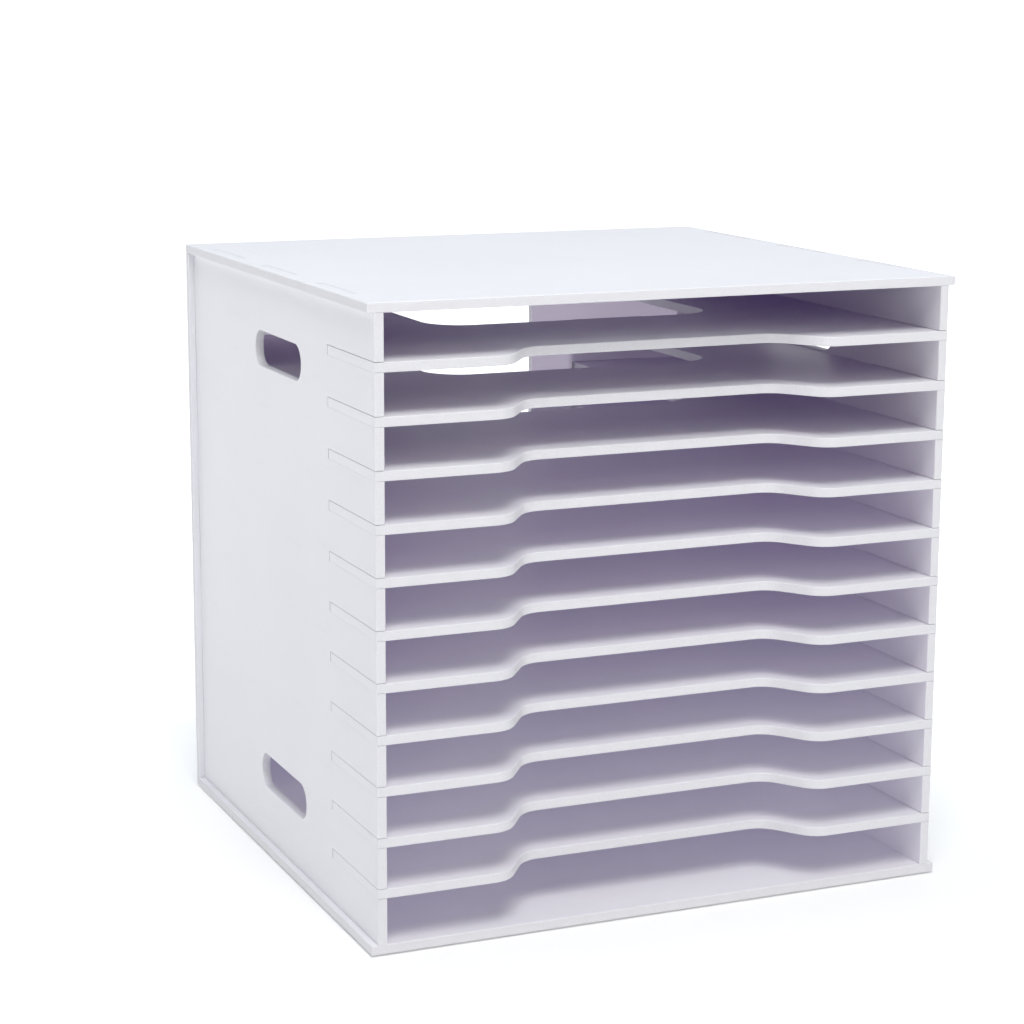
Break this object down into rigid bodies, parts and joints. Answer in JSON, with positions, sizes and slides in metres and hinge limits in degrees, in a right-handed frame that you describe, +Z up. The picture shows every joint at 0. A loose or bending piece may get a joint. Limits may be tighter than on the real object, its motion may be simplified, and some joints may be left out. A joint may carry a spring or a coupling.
{
  "type": "paper storage rack",
  "caption": "Open-fronted rack of slotted white boards with loose dividers that make flat compartments for 12 inch craft paper.",
  "frame": {"origin": "centre of the footprint, on the surface that the rack stands on", "axes": "+X to the right and -Y to the front as the user faces the open front, +Z up"},
  "size_m": [0.33, 0.31, 0.33],
  "materials": {
    "board": "white rigid foam board, satin skin, bare cut edges",
    "divider": "white rigid foam board, satin skin, bare cut edges"
  },
  "bodies": {
    "carcass": {"top_board": "board", "bottom_board": "board", "left_side_panel": "board", "right_side_panel": "board", "back_board": "board"},
    "shelf_01": {"divider_01": "divider"},
    "shelf_02": {"divider_02": "divider"},
    "shelf_03": {"divider_03": "divider"},
    "shelf_04": {"divider_04": "divider"},
    "shelf_05": {"divider_05": "divider"},
    "shelf_06": {"divider_06": "divider"},
    "shelf_07": {"divider_07": "divider"},
    "shelf_08": {"divider_08": "divider"},
    "shelf_09": {"divider_09": "divider"},
    "shelf_10": {"divider_10": "divider"},
    "shelf_11": {"divider_11": "divider"}
  },
  "joints": [
    {"name": "shelf_01_slide", "type": "slide", "parent": "carcass", "child": "shelf_01", "axis": [0, -1, 0], "range_m": [0, 0.06]},
    {"name": "shelf_02_slide", "type": "slide", "parent": "carcass", "child": "shelf_02", "axis": [0, -1, 0], "range_m": [0, 0.06]},
    {"name": "shelf_03_slide", "type": "slide", "parent": "carcass", "child": "shelf_03", "axis": [0, -1, 0], "range_m": [0, 0.06]},
    {"name": "shelf_04_slide", "type": "slide", "parent": "carcass", "child": "shelf_04", "axis": [0, -1, 0], "range_m": [0, 0.06]},
    {"name": "shelf_05_slide", "type": "slide", "parent": "carcass", "child": "shelf_05", "axis": [0, -1, 0], "range_m": [0, 0.06]},
    {"name": "shelf_06_slide", "type": "slide", "parent": "carcass", "child": "shelf_06", "axis": [0, -1, 0], "range_m": [0, 0.06]},
    {"name": "shelf_07_slide", "type": "slide", "parent": "carcass", "child": "shelf_07", "axis": [0, -1, 0], "range_m": [0, 0.06]},
    {"name": "shelf_08_slide", "type": "slide", "parent": "carcass", "child": "shelf_08", "axis": [0, -1, 0], "range_m": [0, 0.06]},
    {"name": "shelf_09_slide", "type": "slide", "parent": "carcass", "child": "shelf_09", "axis": [0, -1, 0], "range_m": [0, 0.06]},
    {"name": "shelf_10_slide", "type": "slide", "parent": "carcass", "child": "shelf_10", "axis": [0, -1, 0], "range_m": [0, 0.06]},
    {"name": "shelf_11_slide", "type": "slide", "parent": "carcass", "child": "shelf_11", "axis": [0, -1, 0], "range_m": [0, 0.06]}
  ]
}
